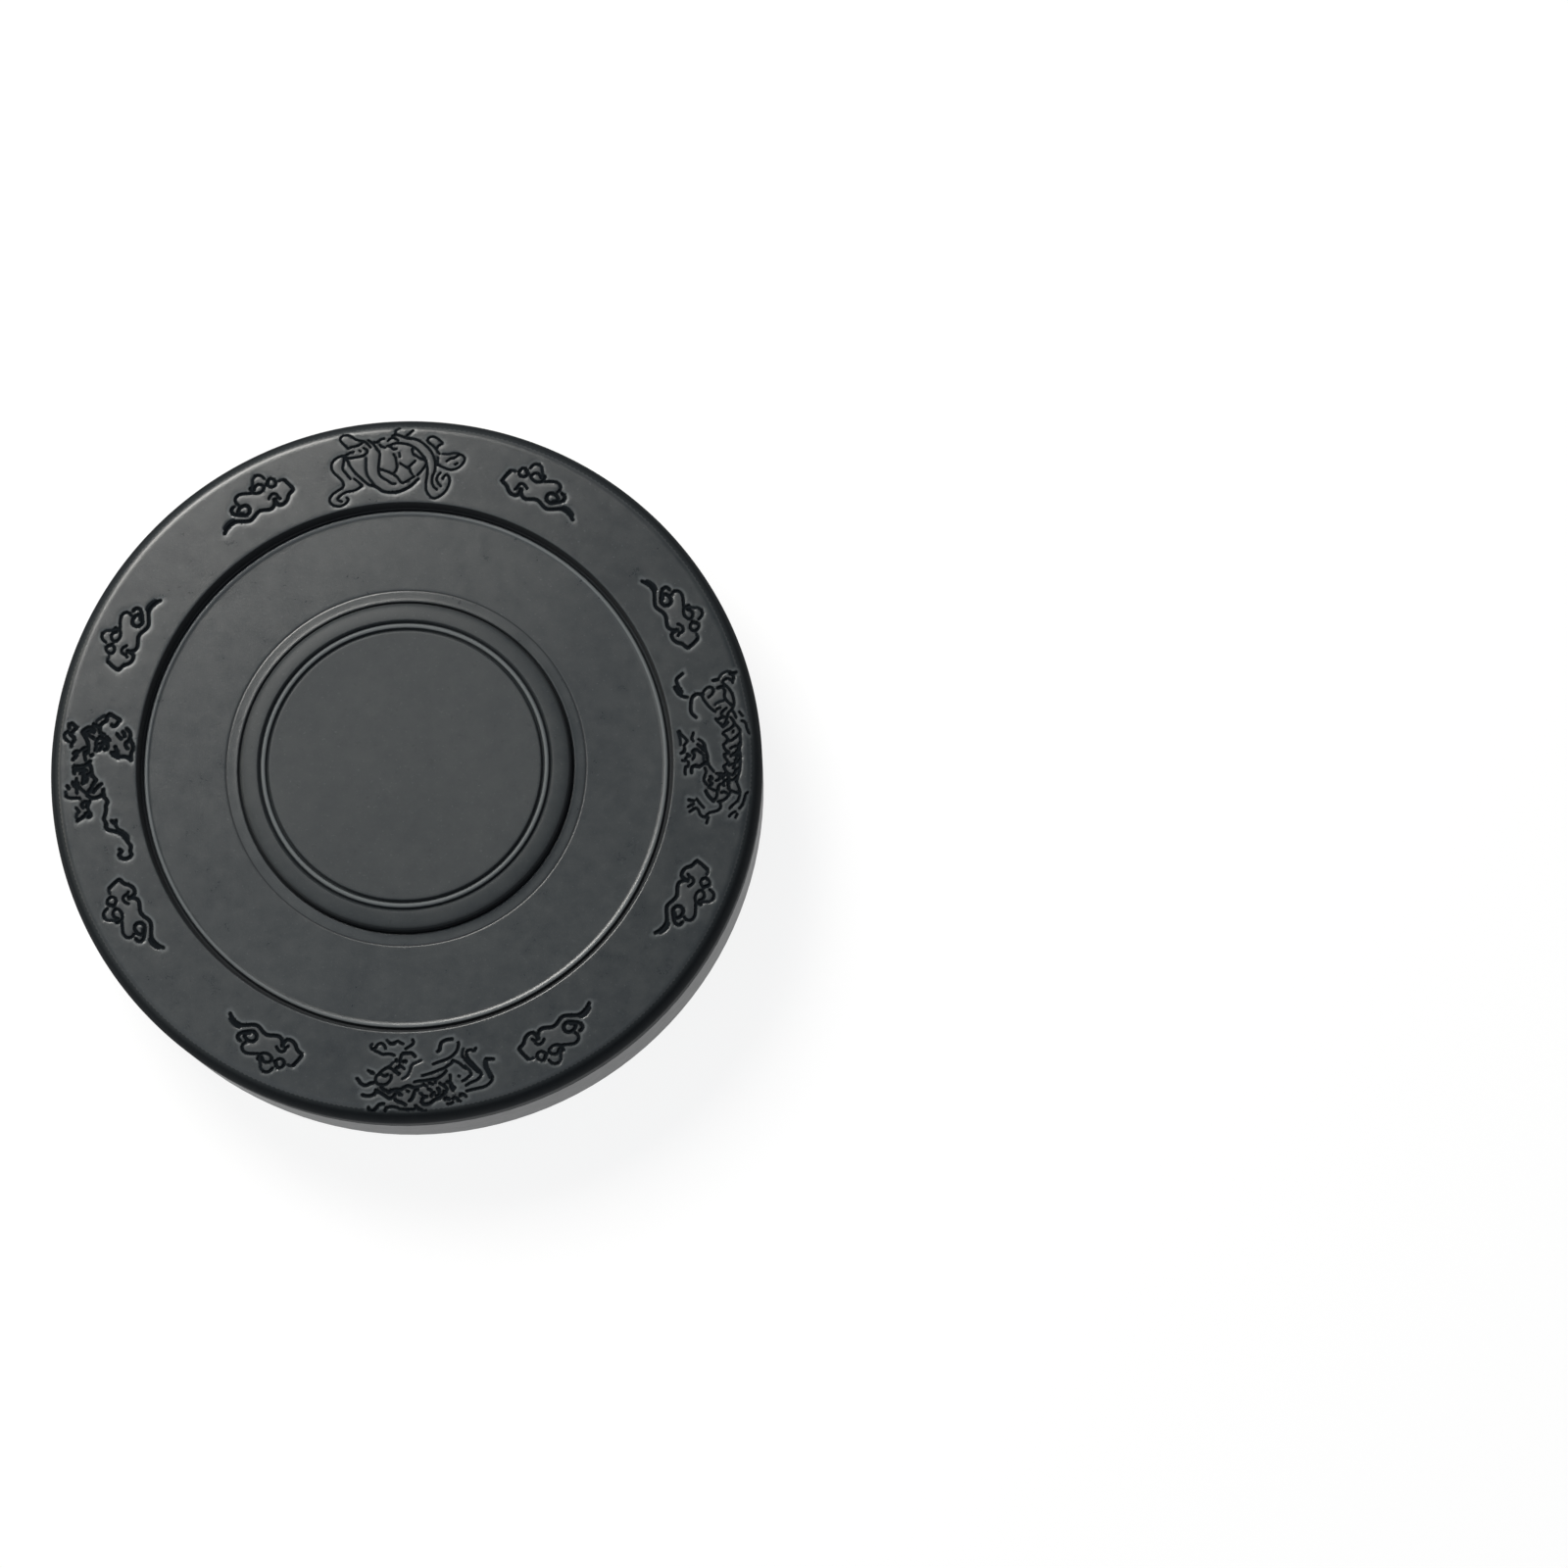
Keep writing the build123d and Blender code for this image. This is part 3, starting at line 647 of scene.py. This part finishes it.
cloud_outline = [
    (-6.8, -1.9), (-5, -1.7), (-3.4, -2.3), (-1.8, -3.1), (0.4, -2.45), (3, -3.1), (4.2, -1.9),
    (5, -3.25), (6.7, -2.5), (8.2, -1.5), (7.4, 0.9), (5.8, 1.2), (4.6, 2.1), (3, 3.8), (1.6, 3),
    (0.9, 1.4), (-1, 2.2), (-2.2, 1.5), (-3.5, 0.65), (-3.8, -0.3), (-2.9, -1.2), (-4.4, -1.3),
]
bodies += [(place, 0.2, cloud_outline) for place in cloud_places]

# Every cut of the graver: its kind, its breadth against others of the kind, and its line on the rim
carvings = [(place, 1.0, (cloud_deep, cloud_plain, cloud_faint)) for place in cloud_places]
carvings += [
    (tortoise_place, 0.84, (tortoise_deep, tortoise_plain, tortoise_faint)),
    (dragon_place, 0.95, (dragon_deep, dragon_plain, dragon_faint)),
    (phoenix_place, 0.98, (phoenix_deep, phoenix_plain, phoenix_faint)),
    (tiger_place, 1.05, (tiger_deep, tiger_plain, tiger_faint)),
]
cuts = []
for place, breadth, drawing in carvings:
    for kind, strokes in zip(("deep", "plain", "faint"), drawing):
        for stroke in strokes:
            cuts.append((kind, breadth, on_rim(smooth_line(stroke, stroke_step), *place)))

# Points of the carved band: rows along each cut and round its ends, and thin rings over the rest
band = []
for kind, breadth, line in cuts:
    along = np.gradient(line, axis=0)
    along /= np.maximum(np.linalg.norm(along, axis=1, keepdims=True), 1e-9)
    across = np.stack([-along[:, 1], along[:, 0]], -1)
    width = groove_width[kind] * breadth
    for away in (0, 0.27 * width, 0.5 * width, 0.5 * width + 0.2, 0.5 * width + 0.55):
        band.append(line + across * away)
        band.append(line - across * away)
    for end, outward in ((line[0], -along[0]), (line[-1], along[-1])):
        for degrees in (-60, -30, 0, 30, 60):
            c, s = math.cos(math.radians(degrees)), math.sin(math.radians(degrees))
            way = np.array([outward[0] * c - outward[1] * s, outward[0] * s + outward[1] * c])
            band.append((end + way * width * 0.5)[None])
        band.append((end + outward * width * 0.27)[None])
for ring in (rim_flat_inside + 0.16, *np.linspace(49.8, 61.8, 20), *np.linspace(62.1, 63.34, 7)):
    angle = np.linspace(0, math.tau, ring_points, endpoint=False) + ring
    band.append(np.stack([ring * np.sin(angle), ring * np.cos(angle)], -1))
band = np.concatenate(band)
reach = np.hypot(band[:, 0], band[:, 1])
band = band[(reach > rim_flat_inside + band_margin) & (reach < carved_outside - band_margin)]

# Of points that nearly meet, only the first is kept
cell_size = 0.1
kept = {}
for x, y in band:
    cell = (int(x // cell_size), int(y // cell_size))
    near = [kept.get((cell[0] + i, cell[1] + j)) for i in (-1, 0, 1) for j in (-1, 0, 1)]
    if all(q is None or (q[0] - x) ** 2 + (q[1] - y) ** 2 > closest_points**2 for q in near):
        kept[cell] = (x, y)
band = np.array(list(kept.values()))


def carved(points):
    """At each point, the depth of cuts and their soft shoulders in mm, the painted shade of the cut, and
    the lips' pale paint of wear and highlight.
    """
    depth = np.zeros(len(points))
    shoulder = np.zeros(len(points))
    wear_and_highlight = np.zeros(len(points))
    for kind, breadth, line in cuts:
        half = groove_width[kind] * breadth / 2
        reached = half + max(shoulder_reach, lip_middle + lip_reach)
        low, high = line.min(0) - reached, line.max(0) + reached
        near = np.nonzero(((points > low) & (points < high)).all(1))[0]
        if not len(near):
            continue
        p = points[near][:, None]
        a, b = line[None, :-1], line[None, 1:]
        share = np.clip(((p - a) * (b - a)).sum(-1) / np.maximum(((b - a) ** 2).sum(-1), 1e-9), 0, 1)
        away = np.linalg.norm(p - a - (b - a) * share[..., None], axis=-1).min(1)
        groove = groove_depth[kind] * breadth * np.cos(np.clip(away / half, 0, 1) * math.pi / 2) ** 0.8
        depth[near] = np.maximum(depth[near], groove)
        fall = np.clip(1 - (away - half) / shoulder_reach, 0, 1) ** 2 * shoulder_drop[kind]
        shoulder[near] = np.maximum(shoulder[near], fall)
        # Lips beside the cut painted pale, as wear and painted highlight
        lip = np.clip(1 - np.abs(away - half - lip_middle) / lip_reach, 0, 1) * lip_wear_and_highlight[kind]
        wear_and_highlight[near] = np.maximum(wear_and_highlight[near], lip)
    # Painted shade: a cut darkens to near-black as it deepens
    cut = np.clip(depth / black_from_depth, 0, 1)
    return depth + shoulder, cut, np.where(depth > bare_from_depth, 0, wear_and_highlight)


def edge_drop(away):
    """How far the rounded edge lies below the rim's flat at a radius, in mm."""
    run = np.clip((away - rim_flat_outside) / rim_round_run, 0, 1)
    return rim_round_drop * (1 - np.sqrt(1 - run**2))


def inside(points, outline):
    """Which points lie inside a closed outline."""
    within = np.zeros(len(points), bool)
    for (x0, y0), (x1, y1) in zip(outline, np.roll(outline, -1, 0)):
        crosses = (y0 > points[:, 1]) != (y1 > points[:, 1])
        within ^= crosses & (points[:, 0] < (x1 - x0) * (points[:, 1] - y0) / (y1 - y0 + 1e-12) + x0)
    return within


# The profile inside the band: channel, field, hairline, groove at the boss's foot, boss and its bead
inner_rows = [
    (rim_flat_inside, lid_top), (48.97, 28.48), (48.85, 28.4), (48.76, 28.2), (48.68, 27.6),
    (48.42, 25.3), (48.15, 25.15), (47.95, 25.3), (47.82, 25.62), (47.68, 25.76), (47.5, 25.82),
    (47.25, 25.8), (47.05, 25.74), (46.9, field), (46.6, field), (40.0, field), (33.5, field),
    (33.2, field), (33.02, 25.69), (32.94, 25.66), (32.85, 25.64), (32.76, 25.66), (32.68, 25.69),
    (32.5, field), (32.2, field), (31.55, 25.71), (31.3, 25.72), (31.1, 25.74), (30.95, 25.75),
    (30.82, 25.73), (30.7, 25.6), (30.58, 25.3), (30.44, 25.2), (30.33, 25.6), (30.22, 26.5),
    (30.1, 27.15), (29.93, 27.55), (29.7, 27.8), (29.35, 27.98), (28.9, 28.1), (28.3, 28.2),
    (27.7, 28.27), (27.2, boss_top), (27.0, 28.29), (26.86, 28.2), (26.7, 27.9), (26.5, 27.6),
    (26.34, 27.65), (26.22, 27.95), (26.12, 28.13), (26.0, 28.22), (25.8, 28.26), (25.6, 28.22),
    (25.48, 28.13), (25.4, 27.95), (25.28, 27.6), (25.1, 27.5), (24.95, 27.7), (24.84, 28.08),
    (24.74, 28.24), (24.6, 28.29), (24.4, boss_top), (24.0, boss_top), (18.0, boss_top),
    (9.0, boss_top), (0, boss_top),
]

# The profile outside it: rounded edge, wall, seat, the ring that drops into the mouth, and the hollow
outer_rows = []
first_turn = math.asin((carved_outside - rim_flat_outside) / rim_round_run)
for turn in np.linspace(first_turn, math.pi / 2, 12):
    drop = rim_round_drop * (1 - math.cos(turn))
    outer_rows.append((rim_flat_outside + rim_round_run * math.sin(turn), lid_top - drop))
outer_rows += [
    (stone_radius, 21.5), (stone_radius, 20.3), (64.88, 20.02), (64.6, seam), (55.7, seam),
    (55.7, 17.8), (55.2, 17.3), (51.2, 17.3), (50.7, 17.8), (50.7, 20.7), (50.5, 20.9), (30.0, 20.9),
    (0, 20.9),
]


def turned(rows):
    """Points and faces of a turned surface. A row is (radius, height) in mm, and radius 0 is a pole."""
    points = []
    starts = []
    for radius, height in rows:
        starts.append(len(points))
        if radius == 0:
            points.append((0, 0, height))
            continue
        for column in range(columns):
            angle = math.tau * column / columns
            points.append((radius * math.sin(angle), radius * math.cos(angle), height))
    faces = []
    for above, below, row, next_row in zip(starts, starts[1:], rows, rows[1:]):
        for column in range(columns):
            beside = (column + 1) % columns
            if row[0] == 0:
                faces.append((above, below + column, below + beside))
            elif next_row[0] == 0:
                faces.append((above + beside, above + column, below))
            else:
                faces.append((above + column, below + column, below + beside, above + beside))
    return points, faces


inner_points, inner_faces = turned(inner_rows)
outer_points, outer_faces = turned(outer_rows)

# The band between them, laid out flat. Its first points are the two edges that it shares with them.
edges = 2 * columns
flat = [Vector((x, y)) for x, y, z in inner_points[:columns] + outer_points[:columns]]
flat += [Vector(p) for p in band.tolist()]
rings = [(i, (i + 1) % columns) for i in range(columns)]
rings += [(columns + i, columns + (i + 1) % columns) for i in range(columns)]
made_points, _, made_faces = geometry.delaunay_2d_cdt(flat, rings, [], 0, 1e-7)[:3]
band_points = np.array([tuple(p) for p in made_points])
depth, cut, wear_and_highlight = carved(band_points)
depth[:edges] = 0
drop = edge_drop(np.hypot(band_points[:, 0], band_points[:, 1]))
rough = np.zeros(len(band_points))
for place, share, outline in bodies:
    within = inside(band_points, on_rim(np.array(outline, float), *place))
    rough[within] = share
    wear_and_highlight[within] *= body_lip_share

# The lid's points: turned inside, turned outside, then the carved band between them. The list
# number_of says where each point of the flat band stands among them.
outer_from = len(inner_points)
carved_from = outer_from + len(outer_points)
band_height = lid_top - depth - drop
points = inner_points + outer_points
points += [(x, y, z) for (x, y), z in zip(band_points.tolist(), band_height)][edges:]
faces = inner_faces + [tuple(outer_from + i for i in face) for face in outer_faces]
number_of = [*range(columns), *range(outer_from, outer_from + columns), *range(carved_from, len(points))]
for face in made_faces:
    middle = band_points[list(face)].mean(0)
    if np.hypot(*middle) > rim_flat_inside * math.cos(math.pi / columns):
        faces.append(tuple(number_of[i] for i in face))


def cut_to_shape(name, points, faces):
    """A new object of the scene, from points in mm."""
    mesh = bpy.data.meshes.new(name)
    mesh.from_pydata([(x * mm, y * mm, z * mm) for x, y, z in points], [], faces)
    mesh.update()
    mesh.validate()
    piece = bpy.data.objects.new(name, mesh)
    bpy.context.scene.collection.objects.link(piece)
    return piece


lid = cut_to_shape("carved_lid", points, faces)

# Cuts and grooves are painted near-black, painted shade that also stands for old ink (red); lips of cuts,
# the light line by the channel and the bead are painted pale, wear with painted highlights, other faces a
# little pale from wear (green); the rounded edge and the lid's side are rough with painted shade, the
# bodies rough and darker (blue)
# Painted shade on the turned grooves: the channel with the rim's edge over it, the hairline, the boss's
# foot and the grooves beside the bead
painted_shade_rings = {
    (47.8, 48.9): 1.0, (32.7, 33.0): 1.0, (30.2, 30.65): 1.0, (26.25, 26.6): 1.0, (24.98, 25.3): 0.6,
}
# Pale rings: painted highlights on the light line by the channel and on the bead, slight wear on the
# flats by the boss
rubbed_and_highlight_rings = {(47.2, 47.7): 0.75, (25.45, 26.15): 0.75, (30.8, 32.3): 0.08, (-1, 24.9): 0.08}
wear_elsewhere = 0.05
# Roughness and painted shade on the lid's side above the seam
wall_rough_and_shade = 0.5
mostly_cut = 0.6


def ring_mark(rings, radius, elsewhere):
    """The mark of the ring that holds a radius."""
    return next((mark for (low, high), mark in rings.items() if low < radius < high), elsewhere)


colour = np.zeros((len(points), 4))
colour[:, 3] = 1
# Red is painted shade in the cuts; green is pale wear with painted highlights on their lips
colour[carved_from:, 0] = cut[edges:]
colour[carved_from:, 1] = wear_and_highlight[edges:]
# Blue: roughness and darker colour on the bodies, and roughness with painted shade on the rounded edge
colour[carved_from:, 2] = np.maximum(rough, np.clip(drop / edge_rough_and_shade_drop, 0, 1))[edges:]
for row, (radius, _) in enumerate(inner_rows):
    here = slice(row * columns, min((row + 1) * columns, outer_from))
    colour[here, 0] = ring_mark(painted_shade_rings, radius, 0)
    colour[here, 1] = ring_mark(rubbed_and_highlight_rings, radius, wear_elsewhere)
for row, (_, height) in enumerate(outer_rows[:-1]):
    here = slice(outer_from + row * columns, outer_from + (row + 1) * columns)
    fallen = lid_top - height
    # Painted shade with roughness: the rounded edge darkens as it falls, the side above the seam by half
    if fallen < rim_round_drop - 0.1:
        colour[here, 2] = min(1, fallen / edge_rough_and_shade_drop)
    elif height > seam + 0.1:
        colour[here, 2] = wall_rough_and_shade
marks = lid.data.color_attributes.new("stone", "FLOAT_COLOR", "POINT")
marks.data.foreach_set("color", colour.ravel())

for finish in lid_finishes:
    lid.data.materials.append(finish)
for polygon in lid.data.polygons:
    centre = polygon.center
    away = math.hypot(centre.x, centre.y)
    finish = waxed_slate
    if min(polygon.vertices) >= carved_from and colour[list(polygon.vertices), 0].mean() > mostly_cut:
        finish = cut_slate
    elif away > dull_edge_from * mm and seam * mm < centre.z < dull_edge_top * mm:
        finish = dull_edge_slate
    elif away < boss_radius * mm and centre.z > (field + 0.1) * mm:
        finish = rubbed_slate
    polygon.material_index = lid_finishes.index(finish)
lid.data.shade_smooth()
lid.data.set_sharp_from_angle(angle=math.radians(28))
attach(lid, "lid")
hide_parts("lid")

# Table
# A white board under the stone. Far out it curves up into a white wall on every side.
# It glows a little to the eye alone, so that it stays white and keeps the stone's shadow.
board_glow = 0.87
white_board = bpy.data.materials.new("white_board")
white_board.use_nodes = True
nodes = white_board.node_tree.nodes
link = white_board.node_tree.links.new
board = nodes["Principled BSDF"]
board.inputs["Base Color"].default_value = (0.16, 0.16, 0.16, 1)
board.inputs["Roughness"].default_value = 0.9
board.inputs["Specular IOR Level"].default_value = 0.1
board.inputs["Emission Color"].default_value = (1, 1, 1, 1)
rays = nodes.new("ShaderNodeLightPath")
seen = nodes.new("ShaderNodeMath")
seen.operation = "MAXIMUM"
link(rays.outputs["Is Camera Ray"], seen.inputs[0])
link(rays.outputs["Is Glossy Ray"], seen.inputs[1])
also = nodes.new("ShaderNodeMath")
also.operation = "MAXIMUM"
link(seen.outputs[0], also.inputs[0])
link(rays.outputs["Is Transmission Ray"], also.inputs[1])
glow = nodes.new("ShaderNodeMath")
glow.operation = "MULTIPLY"
link(also.outputs[0], glow.inputs[0])
glow.inputs[1].default_value = board_glow
link(glow.outputs[0], board.inputs["Emission Strength"])
board_height = -0.1
board_radius = 2500
cove_radius = 900
wall_height = 3000
board_rows = [(0, board_height), (board_radius, board_height)]
for step in range(1, 10):
    angle = math.radians(10 * step)
    board_rows.append((board_radius + cove_radius * math.sin(angle), cove_radius * (1 - math.cos(angle))))
board_rows.append((board_radius + cove_radius, wall_height))
table = cut_to_shape("table", *turned(board_rows))
table.data.materials.append(white_board)

# Light
# Three soft boxes: a small bright one beyond the tortoise on the left, a warm one low on the left,
# and a wide cool one overhead on the phoenix's side. The room round them is dim, cool and even.
room = bpy.data.worlds.new("room")
room.use_nodes = True
bpy.context.scene.world = room
sky = room.node_tree.nodes["Background"]
sky.inputs["Color"].default_value = (0.7, 0.86, 1.0, 1)
sky.inputs["Strength"].default_value = 0.16


def soft_box(name, size, energy, colour, place):
    """A square soft box turned towards the stone, with its side in metres and its power in watts."""
    lamp = bpy.data.lights.new(name, "AREA")
    lamp.shape = "SQUARE"
    lamp.size = size
    lamp.energy = energy
    lamp.color = colour
    box = bpy.data.objects.new(name, lamp)
    box.location = place
    towards_stone = Vector((0, 0, 0.02)) - Vector(place)
    box.rotation_euler = towards_stone.to_track_quat("-Z", "Y").to_euler()
    bpy.context.scene.collection.objects.link(box)


soft_box("window_box", 0.35, 7.4, (1.0, 0.975, 0.93), (-0.27, 0.44, 0.7))
soft_box("side_box", 0.6, 3.0, (1.0, 0.9, 0.72), (-1.2, 0.25, 0.4))
soft_box("ceiling_box", 1.2, 3.6, (0.91, 0.955, 1.0), (-0.2, -0.5, 1.1))

# Camera
# It stands nearly over the stone, a little towards the phoenix and the dragon, and looks past it,
# so that the stone lies left of the middle of the picture.
eye = bpy.data.cameras.new("eye")
eye.lens = 105
eye.sensor_width = 36
eye.clip_start = 0.01
camera = bpy.data.objects.new("eye", eye)
camera.location = (0.0712, -0.1384, 0.8481)
camera.rotation_euler = (0.16193, 0.00474, -0.0119)
bpy.context.scene.collection.objects.link(camera)
bpy.context.scene.camera = camera
bpy.context.scene.view_settings.view_transform = "Standard"
